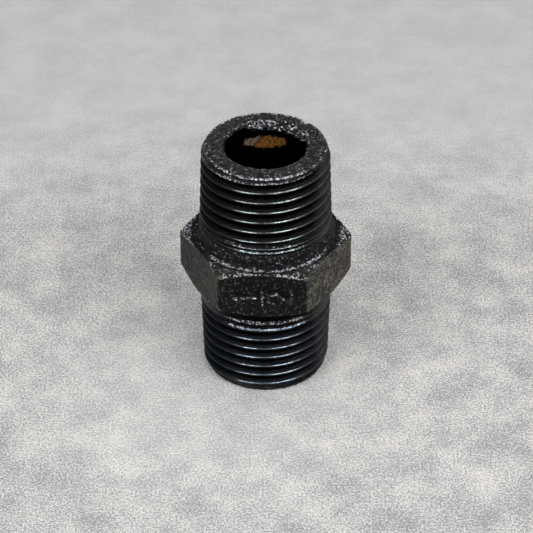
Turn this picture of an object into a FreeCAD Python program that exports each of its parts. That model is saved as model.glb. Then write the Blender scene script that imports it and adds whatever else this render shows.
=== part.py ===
import FreeCAD, Part
import math
import os

# A hexagon nipple for pipework: one malleable iron casting with a tapered male
# thread at each end, a spanner hexagon between them and a plain bore right through.
# Millimetres, +Z up along the bore, origin at the middle of the lower end face.
# Two flats of the hexagon face +X and -X, so two of its corners lie on Y.

# Tapered pipe thread of the half inch size, whose diameter is given at a gauge plane
inch = 25.4
turns_per_inch = 14
gauge_diameter = 20.955
gauge_distance = 8.16
taper_on_diameter = 1 / 16
full_thread_length = 11.2
washout_length = 2.3
end_chamfer = 0.7
lower_start_deg = 260.0
upper_start_deg = 310.0

# The ridges are plain Vs, sharp at crest and root and shallower than the rounded full form
thread_depth = 0.72

# Plain cast neck between each thread and the hexagon
lower_neck_length = 3.4
upper_neck_length = 3.0
neck_step = 0.09
shoulder_bevel = 0.7

# Hexagon, whose flats stand out past the neck by the width of the shoulder
hexagon_sides = 6
hex_thickness = 8.2
shoulder_width = 1.334
corner_edge_radius = 0.5
corner_drop = 0.95

# Bore
bore_diameter = 12.8
bore_edge_bevel = 0.35

# How far one shape reaches into or past another where they are joined or cut
overlap = 0.2

# The thread is worked out at evenly spaced angles and faced in equal shares of a turn
faces_per_turn = 2
samples_per_face = 12
samples_per_turn = faces_per_turn * samples_per_face

# Whole and half turns
full_turn = 2 * math.pi
full_turn_deg = 360
half_turn_deg = full_turn_deg / 2

# Sizes that follow from the ones above
pitch = inch / turns_per_inch
radius_taper = taper_on_diameter / 2
end_crest_radius = gauge_diameter / 2 - gauge_distance * radius_taper
threaded_length = full_thread_length + washout_length
turns_to_neck = math.ceil(threaded_length / pitch)
crest_stop = turns_to_neck * pitch
past_screw = crest_stop + pitch
neck_radius = end_crest_radius + crest_stop * radius_taper + neck_step
shoulder_radius = neck_radius + shoulder_bevel
lower_length = threaded_length + lower_neck_length
upper_length = threaded_length + upper_neck_length
hex_top = lower_length + hex_thickness
total_length = hex_top + upper_length
neck_inset = hex_thickness / 4
half_side_angle = math.pi / hexagon_sides
flat_distance = neck_radius + shoulder_width
corner_distance = flat_distance / math.cos(half_side_angle)
bore_radius = bore_diameter / 2

origin = FreeCAD.Vector(0, 0, 0)
x_axis = FreeCAD.Vector(1, 0, 0)
z_axis = FreeCAD.Vector(0, 0, 1)


def crest_radius(distance):
    """Radius over the thread's crests at a distance from the small end."""
    return end_crest_radius + distance * radius_taper


def around(radius, angle, height):
    """A point at a radius, angle and height."""
    return FreeCAD.Vector(radius * math.cos(angle), radius * math.sin(angle), height)


def turned(profile):
    """The solid swept by an outline of radius and height pairs turned once round the axis."""
    corners = [FreeCAD.Vector(radius, 0, height) for radius, height in profile]
    outline = Part.makePolygon(corners + corners[:1])
    return Part.Face(outline).revolve(origin, z_axis, full_turn_deg)


def crest_point(angle):
    """A point of the crest line, which climbs one pitch in each turn from the small end."""
    height = pitch * angle / full_turn
    return around(crest_radius(height), angle, height)


def root_point(angle):
    """A point of the root line, half a pitch above the crest line."""
    height = pitch * angle / full_turn + pitch / 2
    return around(crest_radius(height) - thread_depth, angle, height)


def rail(points):
    """A smooth curve through evenly spaced points, one unit of its length parameter apart."""
    curve = Part.BSplineCurve()
    curve.interpolate(Points=points, Parameters=[float(i) for i in range(len(points))])
    return curve


def stretch(curve, first):
    """The edge of one face's share of a rail."""
    piece = curve.copy()
    piece.segment(float(first), float(first + samples_per_face))
    return piece.toShape()


def strip(low, low_first, high, high_first, count):
    """Ruled faces between two rails, each rail taken from a sample of its own."""
    forward = 1
    faces = []
    for i in range(0, count, samples_per_face):
        edges = (stretch(low, low_first + i), stretch(high, high_first + i))
        faces.append(Part.makeRuledSurface(edges[0], edges[1], forward))
    return faces


def on_axis(points):
    """The points moved straight in to the axis."""
    return [FreeCAD.Vector(0, 0, point.z) for point in points]


def thread_end_face(side, spiral):
    """The flat face in one half plane where the spiral skin starts or stops."""
    corners = side + on_axis(spiral[::-samples_per_face])
    return Part.Face(Part.makePolygon(corners + corners[:1]))


def thread_screw():
    """A screw of plain V ridges, from one pitch below the small end up into the neck."""
    count = (turns_to_neck + 1) * samples_per_turn
    angles = [full_turn * (i / samples_per_turn - 1) for i in range(count + 1)]
    crests = [crest_point(angle) for angle in angles]
    roots = [root_point(angle) for angle in angles]
    crest_rail = rail(crests)
    root_rail = rail(roots)
    last_turn = count - samples_per_turn
    first_spiral = crests[: samples_per_turn + 1]
    last_spiral = roots[last_turn:]
    faces = strip(crest_rail, 0, root_rail, 0, count)
    faces += strip(root_rail, 0, crest_rail, samples_per_turn, last_turn)
    faces += strip(crest_rail, 0, rail(on_axis(first_spiral)), 0, samples_per_turn)
    faces += strip(root_rail, last_turn, rail(on_axis(last_spiral)), 0, samples_per_turn)
    faces.append(thread_end_face([crests[0], roots[0], crests[samples_per_turn]], first_spiral))
    faces.append(thread_end_face([roots[last_turn], crests[count], roots[count]], last_spiral))
    skin = Part.Shell(faces)
    skin.sewShape()
    screw = Part.Solid(skin)
    if screw.Volume < 0:
        screw.reverse()
    return screw


def end_trim():
    """What the small end is turned to: a flat face and a chamfer at 45 degrees."""
    face_radius = crest_radius(0) - end_chamfer
    clear_radius = neck_radius + overlap
    clear_height = clear_radius - face_radius
    return turned(
        [
            (0, 0),
            (face_radius, 0),
            (clear_radius, clear_height),
            (clear_radius, past_screw),
            (0, past_screw),
        ]
    )


def neck(length):
    """The plain neck, its outer edge sloped where the thread washes out, bevelled to the shoulder."""
    washout_radius = crest_radius(full_thread_length) - thread_depth - overlap
    return turned(
        [
            (0, full_thread_length),
            (washout_radius, full_thread_length),
            (neck_radius, threaded_length),
            (neck_radius, length - shoulder_bevel),
            (shoulder_radius, length),
            (shoulder_radius, length + neck_inset),
            (0, length + neck_inset),
        ]
    )


def threaded_end(length, start_deg):
    """One end standing on its small face, its thread started at an angle."""
    end = thread_screw().common(end_trim()).fuse(neck(length))
    end.rotate(origin, z_axis, start_deg)
    return end


def spanner_hexagon():
    """The hexagon with softened corners, its two ends bevelled by a turned outline."""
    angles = [(2 * k + 1) * half_side_angle for k in range(hexagon_sides)]
    corners = [around(corner_distance, angle, lower_length) for angle in angles]
    outline = Part.makePolygon(corners + corners[:1])
    prism = Part.Face(outline).extrude(z_axis * hex_thickness)
    uprights = [edge for edge in prism.Edges if edge.BoundBox.ZLength > overlap]
    prism = prism.makeFillet(corner_edge_radius, uprights)
    reach = corner_distance + overlap
    drop = corner_drop * (reach - flat_distance) / (corner_distance - flat_distance)
    bevels = turned(
        [
            (0, lower_length),
            (flat_distance, lower_length),
            (reach, lower_length + drop),
            (reach, hex_top - drop),
            (flat_distance, hex_top),
            (0, hex_top),
        ]
    )
    return prism.common(bevels)


def bore():
    """The through bore with a small bevel at each mouth."""
    mouth_radius = bore_radius + bore_edge_bevel + overlap
    return turned(
        [
            (0, -overlap),
            (mouth_radius, -overlap),
            (bore_radius, bore_edge_bevel),
            (bore_radius, total_length - bore_edge_bevel),
            (mouth_radius, total_length + overlap),
            (0, total_length + overlap),
        ]
    )


def nipple():
    """The whole casting as one solid."""
    lower = threaded_end(lower_length, lower_start_deg)
    upper = threaded_end(upper_length, upper_start_deg)
    upper.rotate(origin, x_axis, half_turn_deg)
    upper.translate(z_axis * total_length)
    casting = spanner_hexagon().fuse([lower, upper]).cut(bore())
    return casting.Solids[0]


os.makedirs("parts", exist_ok=True)
nipple_body = nipple()
nipple_body.exportStep("parts/nipple_body.step")
print("nipple_body valid", nipple_body.isValid(), "volume", round(nipple_body.Volume, 1))
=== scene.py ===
"""A black iron hexagon nipple for half inch pipe, standing on its end on a pale floor."""

import logging
import math
from dataclasses import dataclass, field
from enum import Enum
from functools import cached_property, reduce
from typing import Callable

import bmesh
import bpy
from bmesh.types import BMEdge, BMesh, BMVert
from mathutils import Matrix, Vector, noise


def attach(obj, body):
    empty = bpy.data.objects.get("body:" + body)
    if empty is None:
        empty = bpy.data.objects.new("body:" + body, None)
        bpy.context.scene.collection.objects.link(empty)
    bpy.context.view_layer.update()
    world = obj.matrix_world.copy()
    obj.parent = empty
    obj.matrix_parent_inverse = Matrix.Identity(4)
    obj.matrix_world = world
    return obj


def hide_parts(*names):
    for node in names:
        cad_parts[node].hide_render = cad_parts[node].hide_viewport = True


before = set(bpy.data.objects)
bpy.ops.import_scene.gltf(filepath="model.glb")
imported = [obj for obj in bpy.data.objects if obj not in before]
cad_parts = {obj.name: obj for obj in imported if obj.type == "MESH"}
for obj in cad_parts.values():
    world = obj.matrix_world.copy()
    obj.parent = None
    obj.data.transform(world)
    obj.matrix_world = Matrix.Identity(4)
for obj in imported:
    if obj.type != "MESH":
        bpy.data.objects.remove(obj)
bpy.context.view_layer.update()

log = logging.getLogger("nipple")

MM = 0.001
FULL_TURN = 2 * math.pi
WELD = 0.001 * MM
SIDES = 6
NECK_RADIUS = 10.766 * MM
FRONT_DEG = -57.4
CAMERA_TURN_DEG = -57.4184
Colour = tuple[float, float, float]
Place = tuple[float, float, float]
Placing = Callable[[Vector], Vector]
Socket = bpy.types.NodeSocket


@dataclass(frozen=True)
class Step:
    """A smooth step from where it starts to where it is complete, which may be lower."""

    low: float
    high: float

    def __call__(self, value: float) -> float:
        """Give how far a value has passed the step, from 0 to 1."""
        share = min(max((value - self.low) / (self.high - self.low), 0.0), 1.0)
        return share * share * (3 - 2 * share)

    def towards(self, other: "Step", share: float) -> "Step":
        """Give the step that lies a share of the way to another."""
        low = self.low + (other.low - self.low) * share
        return Step(low, self.high + (other.high - self.high) * share)


def mm_step(low: float, high: float) -> Step:
    """Give a step between two lengths in millimetres."""
    return Step(low * MM, high * MM)


def deg_step(low: float, high: float) -> Step:
    """Give a step between two angles in degrees."""
    return Step(math.radians(low), math.radians(high))


def reach(point: Vector) -> float:
    """Give a point's distance from the bore's axis."""
    return math.hypot(point.x, point.y)


def bearing(point: Vector) -> float:
    """Give a point's angle round the bore's axis."""
    return math.atan2(point.y, point.x)


def turned_to(point: Vector, radius: float, height: float) -> Vector:
    """Move a point within its own half plane to a radius and height."""
    share = radius / reach(point)
    return Vector((point.x * share, point.y * share, height))


def raised_to(point: Vector, height: float) -> Vector:
    """Move a point straight up or down to a height."""
    return Vector((point.x, point.y, height))


def angle_between(first: float, second: float) -> float:
    """Give the turn between two angles, half a turn at most."""
    return abs(math.remainder(first - second, FULL_TURN))


def direction(turn_deg: float, rise_deg: float) -> Vector:
    """Give the direction at a turn round the upright axis and a rise above the level."""
    turn, rise = math.radians(turn_deg), math.radians(rise_deg)
    level = math.cos(rise)
    return Vector((level * math.cos(turn), level * math.sin(turn), math.sin(rise)))


def grain(point: Vector, size: float, layers: int) -> float:
    """Give a lumpy field's value at a point.

    Args:
        point: Where the field is read.
        size: The width of its largest lumps.
        layers: How many layers it has, each finer than the one before.

    Returns:
        A number from 0 to 1.
    """
    return min(max(0.5 + 0.5 * noise.fractal(point / size, 1.0, 2.0, layers), 0.0), 1.0)


def extrude_ring(bm: BMesh, ring: list[BMEdge], place: Placing) -> list[BMEdge]:
    """Extrude a ring of edges once and put the new ring in its place.

    Args:
        bm: The mesh that the ring belongs to.
        ring: The open edges to extrude.
        place: Gives each new point's place from the point that it came from.

    Returns:
        The edges of the new ring.
    """
    made = bmesh.ops.extrude_edge_only(bm, edges=ring)["geom"]
    new_verts = {part for part in made if isinstance(part, BMVert)}
    for vert in new_verts:
        vert.co = place(vert.co)
    return [part for part in made if isinstance(part, BMEdge) and set(part.verts) <= new_verts]


def open_ring(bm: BMesh, height: float) -> list[BMEdge]:
    """Find the open edges at a height.

    Args:
        bm: The mesh to look through.
        height: The height of the ring.

    Returns:
        The open edges whose two ends lie there.
    """
    near = 0.01 * MM
    return [
        edge
        for edge in bm.edges
        if edge.is_boundary and all(abs(vert.co.z - height) < near for vert in edge.verts)
    ]


def round_corners(bm: BMesh, corners: list[BMVert], offset: float, segments: int) -> None:
    """Round the corners of an outline.

    Args:
        bm: The mesh that holds the outline.
        corners: The corners to round.
        offset: How far from a corner its rounding starts.
        segments: How many edges each rounding has.
    """
    bmesh.ops.bevel(
        bm,
        geom=corners,
        offset=offset,
        offset_type="OFFSET",
        segments=segments,
        profile=0.5,
        affect="VERTICES",
        clamp_overlap=False,
        material=-1,
    )


def add_mesh(bm: BMesh, other: BMesh) -> None:
    """Copy one mesh into another and free it.

    Args:
        bm: The mesh that receives the copy.
        other: The mesh that is copied and freed.
    """
    carrier = bpy.data.meshes.new("carrier")
    other.to_mesh(carrier)
    other.free()
    bm.from_mesh(carrier)
    bpy.data.meshes.remove(carrier)


def add_object(bm: BMesh, name: str, material: bpy.types.Material) -> bpy.types.Object:
    """Turn a mesh into an object of the scene.

    Args:
        bm: The finished mesh, which is freed.
        name: The object's name.
        material: What it is made of.

    Returns:
        The object.
    """
    mesh = bpy.data.meshes.new(name)
    bm.to_mesh(mesh)
    bm.free()
    mesh.materials.append(material)
    made = bpy.data.objects.new(name, mesh)
    bpy.context.scene.collection.objects.link(made)
    return made


class Mask(Enum):
    """The painted masks that the finish reads from the mesh."""

    CAST = "cast"
    DUST = "dust"
    FACE = "face"
    EDGE = "edge"
    CREST = "crest"
    GLINT = "glint"
    BORE = "bore"


@dataclass(frozen=True)
class PipeThread:
    """The standard tapered pipe thread of the half inch size, rounded at crest and root."""

    inch: float = 25.4 * MM
    turns_per_inch: float = 14.0
    gauge_diameter: float = 20.955 * MM
    gauge_distance: float = 8.16 * MM
    radius_taper: float = 1 / 32
    flank: float = math.radians(27.5)
    depth_share: float = 0.640327

    @property
    def pitch(self) -> float:
        """Give the distance from crest to crest."""
        return self.inch / self.turns_per_inch

    @property
    def depth(self) -> float:
        """Give the height of the rounded ridge."""
        return self.depth_share * self.pitch

    @property
    def truncation(self) -> float:
        """Give what the rounding takes off the sharp form at crest and at root."""
        return (self.pitch / (2 * math.tan(self.flank)) - self.depth) / 2

    @property
    def bevel_offset(self) -> float:
        """Give how far along each flank the rounding starts, for it to take off the truncation."""
        return self.truncation / ((2 - math.sqrt(2)) * math.cos(self.flank))

    def crest_radius(self, distance: float) -> float:
        """Give the radius over the crests at a distance from the small end."""
        at_end = self.gauge_diameter / 2 - self.gauge_distance * self.radius_taper
        return at_end + distance * self.radius_taper


@dataclass
class ThreadedEnd:
    """One threaded end with its face and its half of the bore, standing on its small end."""

    start_deg: float
    bore_length: float
    full_length: float
    thread: PipeThread = field(default_factory=PipeThread)
    cut_length: float = 14.4 * MM
    neck_blend: float = 1.2 * MM
    drop_start: float = 0.5
    drop_end: float = 0.7
    stub_share: float = 0.3
    stub_length: float = 6.5 * MM
    creep: float = 0.35
    ease: float = 0.55 * MM
    chamfer: float = 0.7 * MM
    chamfer_slope: float = 2.0
    rim_lean: float = 0.45
    rim_rounding: float = 0.3 * MM
    bore_radius: float = 6.4 * MM
    mouth_bevel: float = 0.35 * MM
    columns: int = 192
    crest_segments: int = 4
    flank_cuts: int = 1
    rim_rings: int = 4
    face_rings: int = 14
    mouth_rings: int = 3
    fine_rings: int = 8
    fine_length: float = 1.8 * MM
    coarse_rings: int = 6

    def build(self) -> BMesh:
        """Model the end in its own place.

        Returns:
            A mesh that is open at the neck and in the bore.
        """
        bm = bmesh.new()
        self._draw_ridges(bm)
        self._spin(bm)
        self._turn_down(bm)
        self._trim(bm)
        self._bore(bm)
        return bm

    def _draw_ridges(self, bm: BMesh) -> None:
        """Draw the outline of sharp ridges in one half plane and round its corners.

        Args:
            bm: The empty mesh that receives the outline.
        """
        thread = self.thread
        crest = thread.crest_radius(0) + thread.truncation
        root = thread.crest_radius(0) - thread.depth - thread.truncation
        turns = math.ceil(self._unfaded(self.cut_length) / thread.pitch) + 2
        vert = bm.verts.new((crest, 0, -2 * thread.pitch))
        line = [vert]
        for i in range(2 * turns):
            radius = root if i % 2 == 0 else crest
            vert = bmesh.ops.extrude_vert_indiv(bm, verts=[vert])["verts"][0]
            vert.co = (radius, 0, line[-1].co.z + thread.pitch / 2)
            line.append(vert)
        round_corners(bm, line[1:-1], thread.bevel_offset, self.crest_segments)
        flanks = [edge for edge in bm.edges if edge.calc_length() > thread.depth / 2]
        bmesh.ops.subdivide_edges(bm, edges=flanks, cuts=self.flank_cuts)

    def _spin(self, bm: BMesh) -> None:
        """Sweep the outline once round the axis while it climbs one pitch.

        Args:
            bm: The mesh that holds the outline.
        """
        climb = Vector((0, 0, self.thread.pitch / self.columns))
        bmesh.ops.spin(
            bm,
            geom=bm.verts[:] + bm.edges[:],
            cent=(0, 0, 0),
            axis=(0, 0, 1),
            dvec=climb,
            angle=FULL_TURN,
            steps=self.columns,
            use_merge=False,
            use_duplicate=False,
        )
        bmesh.ops.remove_doubles(bm, verts=bm.verts[:], dist=WELD)

    def _faded(self, run: float) -> float:
        """Shorten a distance past the full thread, where the last turns crowd together."""
        past = max(run - self.full_length, 0.0)
        eased = self.ease * (1 - math.exp(-(1 - self.creep) * past / self.ease))
        return min(run, self.full_length) + self.creep * past + eased

    def _unfaded(self, distance: float) -> float:
        """Give the run of evenly pitched thread that reaches a distance once it is shortened."""
        return self.full_length + (distance - self.full_length) / self.creep

    def _left(self, run: float) -> float:
        """Give the share of the ridges' depth at a run, which falls to that of low stubs.

        Args:
            run: The distance along the evenly pitched thread.

        Returns:
            A number from 0 to 1.
        """
        pitch = self.thread.pitch
        start = self.full_length - self.drop_start * pitch
        end = self.full_length + self.drop_end * pitch
        stub = self.stub_share * math.exp(min((self.full_length - run) / self.stub_length, 0.0))
        return stub + (1 - stub) * Step(end, start)(run)

    def _turn_down(self, bm: BMesh) -> None:
        """Taper the ridges, fade them out into the neck and chamfer the small end.

        Args:
            bm: The mesh that holds the swept ridges.
        """
        thread = self.thread
        stock = thread.crest_radius(0)
        face_radius = stock - self.chamfer
        begin = Step(self.rim_rounding, self.chamfer + 2 * self.rim_rounding)
        blend = Step(self.cut_length - self.neck_blend, self.cut_length)
        ridge = bm.verts.layers.float.new(Mask.CREST.value)
        for vert in bm.verts:
            run = vert.co.z
            below = stock - reach(vert.co)
            left = self._left(run)
            vert[ridge] = min(max(1 - below * left / thread.depth, 0.0), 1.0)
            distance = self._faded(run)
            radius = thread.crest_radius(distance) - below * left * begin(distance)
            radius += (NECK_RADIUS - radius) * blend(distance)
            radius = min(radius, face_radius + self._rim_rise(distance))
            vert.co = turned_to(vert.co, radius, distance)

    def _rim_rise(self, distance: float) -> float:
        """Give how far the leaning rim stands out past the face at a distance from the end."""
        leaning = self.rim_rounding + self.rim_lean * (distance - self.rim_rounding)
        return leaning + self.chamfer_slope * max(distance - self.chamfer, 0.0)

    def _trim(self, bm: BMesh) -> None:
        """Cut the sheet flat at the small end and at the neck.

        Args:
            bm: The mesh that holds the finished ridges.
        """
        for height, outwards in ((self.rim_rounding, -1), (self.cut_length, 1)):
            bmesh.ops.bisect_plane(
                bm,
                geom=bm.verts[:] + bm.edges[:] + bm.faces[:],
                dist=0.0001 * MM,
                plane_co=(0, 0, height),
                plane_no=(0, 0, outwards),
                clear_outer=True,
            )

    def _bore(self, bm: BMesh) -> None:
        """Carry the small end's outline round the rim, over the face and down the bore.

        Args:
            bm: The mesh that holds the trimmed ridges.
        """
        mouth = self.bore_radius + self.mouth_bevel
        ring = open_ring(bm, self.rim_rounding)
        for i in range(self.rim_rings):
            before, after = (math.pi / 2 * step / self.rim_rings for step in (i, i + 1))
            inwards = self.rim_rounding * (math.cos(before) - math.cos(after))
            height = self.rim_rounding * (1 - math.sin(after))
            ring = extrude_ring(bm, ring, lambda at: turned_to(at, reach(at) - inwards, height))
        for left in range(self.face_rings, 0, -1):
            ring = extrude_ring(
                bm, ring, lambda at: turned_to(at, reach(at) + (mouth - reach(at)) / left, 0.0)
            )
        step = self.mouth_bevel / self.mouth_rings
        for _ in range(self.mouth_rings):
            ring = extrude_ring(bm, ring, lambda at: turned_to(at, reach(at) - step, at.z + step))
        rest = self.bore_length - self.mouth_bevel - self.fine_length
        for count, length in ((self.fine_rings, self.fine_length), (self.coarse_rings, rest)):
            drop = Vector((0, 0, length / count))
            for _ in range(count):
                ring = extrude_ring(bm, ring, lambda at: at + drop)


@dataclass
class SpannerHexagon:
    """The hexagon with the shoulders and necks that join it to the two ends."""

    low: float
    high: float
    lower_neck: float
    upper_neck: float
    flat_distance: float = 12.1 * MM
    corner_rounding: float = 0.5 * MM
    corner_drop: float = 0.95 * MM
    shallow_side_deg: float = 110.0
    shallow_share: float = 1.25
    least_share: float = 0.1
    lower_front_share: float = 0.7
    lower_side_share: float = 1.0
    fillet: float = 0.5 * MM
    swelling_deg: float = 50.0
    swelling_spread: Step = deg_step(85.0, 15.0)
    swelling: float = 0.5 * MM
    swelling_height: float = 2.2 * MM
    corner_segments: int = 4
    side_cuts: int = 44
    side_rings: int = 34
    shoulder_rings: int = 7
    fillet_rings: int = 6
    neck_rings: int = 6

    @property
    def corner_distance(self) -> float:
        """Give the distance of the sharp corners from the axis."""
        return self.flat_distance / math.cos(math.pi / SIDES)

    def build(self) -> BMesh:
        """Model the hexagon from its lower outline, first up and then down.

        Returns:
            A mesh that is open at the two necks.
        """
        bm = bmesh.new()
        outline = self._outline(bm)
        top = outline
        for left in range(self.side_rings, 0, -1):
            top = extrude_ring(
                bm, top, lambda at: raised_to(at, at.z + (self.end_height(at, 1) - at.z) / left)
            )
        self._shoulder(bm, top, 1, self.upper_neck)
        self._shoulder(bm, outline, -1, self.lower_neck)
        self._soften(bm, top + outline)
        return bm

    def end_height(self, at: Vector, side: int) -> float:
        """Give the height of the bevelled top or bottom over a point.

        Args:
            at: The point.
            side: 1 for the top, -1 for the bottom.

        Returns:
            The height of that end there.
        """
        past = max(reach(at) - self.flat_distance, 0.0)
        drop = self.corner_drop * past / (self.corner_distance - self.flat_distance)
        if side < 0:
            aside = math.sin(bearing(at) - math.radians(FRONT_DEG)) ** 2
            return self.low + drop * (self.lower_front_share + self.lower_side_share * aside)
        facing = 0.5 + 0.5 * math.cos(bearing(at) - math.radians(self.shallow_side_deg))
        return self.high - drop * max(1 - self.shallow_share * facing, self.least_share)

    def _outline(self, bm: BMesh) -> list[BMEdge]:
        """Draw the hexagon's outline on its lower bevel.

        Args:
            bm: The empty mesh that receives the outline.

        Returns:
            The outline's edges.
        """
        circle = bmesh.ops.create_circle(
            bm, cap_ends=False, segments=SIDES, radius=self.corner_distance
        )
        offset = self.corner_rounding * math.tan(math.pi / SIDES)
        round_corners(bm, circle["verts"], offset, self.corner_segments)
        sides = [edge for edge in bm.edges if edge.calc_length() > self.flat_distance / 2]
        bmesh.ops.subdivide_edges(bm, edges=sides, cuts=self.side_cuts)
        for vert in bm.verts:
            vert.co.z = self.end_height(vert.co, -1)
        return bm.edges[:]

    def _shoulder(self, bm: BMesh, ring: list[BMEdge], side: int, neck_end: float) -> None:
        """Carry an outline over the end of the hexagon, round the fillet and along the neck.

        Args:
            bm: The hexagon's mesh.
            ring: The outline to start from.
            side: 1 for the top, -1 for the bottom.
            neck_end: The height at which the neck stops.
        """
        for left in range(self.shoulder_rings, 0, -1):
            ring = extrude_ring(bm, ring, lambda at: self._inwards(at, side, left))
        for i in range(1, self.fillet_rings + 1):
            turn = math.pi / 2 * i / self.fillet_rings
            ring = extrude_ring(bm, ring, lambda at: self._round_up(at, side, turn))
        for left in range(self.neck_rings, 0, -1):
            ring = extrude_ring(
                bm, ring, lambda at: raised_to(at, at.z + (neck_end - at.z) / left)
            )

    def _swell(self, at: Vector, side: int) -> float:
        """Tell how much of the swelling a point has, which only the upper neck shows."""
        off = angle_between(bearing(at), math.radians(self.swelling_deg))
        return self.swelling_spread(off) if side > 0 else 0.0

    def _inwards(self, at: Vector, side: int, left: int) -> Vector:
        """Step in over the bevelled end.

        Args:
            at: The point to step from.
            side: 1 for the top, -1 for the bottom.
            left: How many steps are left to the fillet.

        Returns:
            The next point.
        """
        inner = NECK_RADIUS + self.fillet + self.swelling * self._swell(at, side)
        moved = turned_to(at, reach(at) + (inner - reach(at)) / left, at.z)
        return raised_to(moved, self.end_height(moved, side))

    def _round_up(self, at: Vector, side: int, turn: float) -> Vector:
        """Step up the fillet.

        Args:
            at: The point to step from.
            side: 1 for the top, -1 for the bottom.
            turn: How far round the fillet the next point lies.

        Returns:
            The next point.
        """
        level = self.high if side > 0 else self.low
        across = self.fillet + self.swelling * self._swell(at, side)
        upright = self.fillet + self.swelling_height * self._swell(at, side)
        radius = NECK_RADIUS + across * (1 - math.sin(turn))
        return turned_to(at, radius, level + side * upright * (1 - math.cos(turn)))

    def _soften(self, bm: BMesh, edges: list[BMEdge]) -> None:
        """Round the edges where the sides meet the bevelled ends.

        Args:
            bm: The hexagon's mesh.
            edges: The two outlines.
        """
        crown = {vert for edge in edges for vert in edge.verts}
        near = {edge.other_vert(vert) for vert in crown for edge in vert.link_edges}
        bmesh.ops.smooth_vert(
            bm,
            verts=list(crown | near),
            factor=0.5,
            use_axis_x=True,
            use_axis_y=True,
            use_axis_z=True,
        )


@dataclass(frozen=True)
class Stroke:
    """One straight pen stroke of the size mark."""

    start: tuple[float, float]
    end: tuple[float, float]

    def distance(self, across: float, along: float) -> float:
        """Give how far a point of the mark's plane lies from the stroke.

        Args:
            across: The point's place across the face.
            along: The point's height on the face.

        Returns:
            The distance to the nearest point of the stroke.
        """
        step = self.end[0] - self.start[0], self.end[1] - self.start[1]
        away = across - self.start[0], along - self.start[1]
        length = step[0] ** 2 + step[1] ** 2
        share = min(max((away[0] * step[0] + away[1] * step[1]) / length, 0.0), 1.0)
        return math.hypot(away[0] - share * step[0], away[1] - share * step[1])


@dataclass
class SizeMark:
    """The raised size on one flat: a plain one, a bar and a two, lying on its side."""

    face_deg: float = -60.0
    face_distance: float = 11.9 * MM
    height: float = 20.5 * MM
    glyph_height: float = 3.7 * MM
    glyph_width: float = 1.95 * MM
    gap: float = 0.9 * MM
    bar_share: float = 1.5
    pen: float = 0.5 * MM
    pen_top: float = 0.3
    relief: float = 0.3 * MM

    @cached_property
    def strokes(self) -> list[Stroke]:
        """Lay out the strokes in the plane of the flat.

        Returns:
            The strokes, in metres across and up the face from the mark's middle.
        """
        half = self.glyph_width / 2
        near, far = self.gap, self.gap + self.glyph_height
        bend = self.glyph_width * 0.42
        stem = (-far, half * 0.1), (-near, half * 0.1)
        flag = (-far, half * 0.1), (-far + bend, -half * 0.8)
        bar = (0, -half * self.bar_share), (0, half * self.bar_share)
        two = (
            (near + bend, -half),
            (near, -half * 0.4),
            (near + bend * 0.4, half * 0.6),
            (near + bend * 1.5, half),
            (far, -half),
            (far, half),
        )
        return [Stroke(*ends) for ends in (stem, flag, bar, *zip(two, two[1:]))]

    @cached_property
    def outwards(self) -> Vector:
        """Give the direction that the flat faces."""
        return direction(self.face_deg, 0.0)

    @cached_property
    def across(self) -> Vector:
        """Give the level direction along the flat."""
        return Vector((-self.outwards.y, self.outwards.x, 0))

    def share(self, at: Vector) -> float:
        """Tell how much of the strokes' full height a point of the flat has."""
        place = at.dot(self.across), at.z - self.height
        gap = min(stroke.distance(*place) for stroke in self.strokes)
        return Step(self.pen, self.pen * self.pen_top)(gap)

    def raise_on(self, bm: BMesh) -> None:
        """Refine the flat under the mark and raise the strokes from it.

        Args:
            bm: The nipple's mesh.
        """
        edges = [edge for edge in bm.edges if all(self._under(vert) for vert in edge.verts)]
        bmesh.ops.subdivide_edges(bm, edges=edges, cuts=1, use_grid_fill=True)
        for vert in bm.verts:
            if self._under(vert):
                vert.co += self.outwards * self.relief * self.share(vert.co)

    def _under(self, vert: BMVert) -> bool:
        """Tell whether a point lies on the part of the flat that the mark takes up."""
        half_height = self.glyph_width / 2 * self.bar_share + self.pen
        return (
            vert.co.dot(self.outwards) > self.face_distance
            and abs(vert.co.dot(self.across)) < self.gap + self.glyph_height + self.pen
            and abs(vert.co.z - self.height) < half_height
        )


class Blend(Enum):
    """What a mixing node mixes."""

    NUMBER = "VALUE"
    COLOUR = "RGBA"


@dataclass(frozen=True)
class Lumps:
    """A field of soft lumps: their width in millimetres, and how fine, rough and swirled it is."""

    size: float
    detail: float
    rough: float
    swirl: float = 0.0


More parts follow.
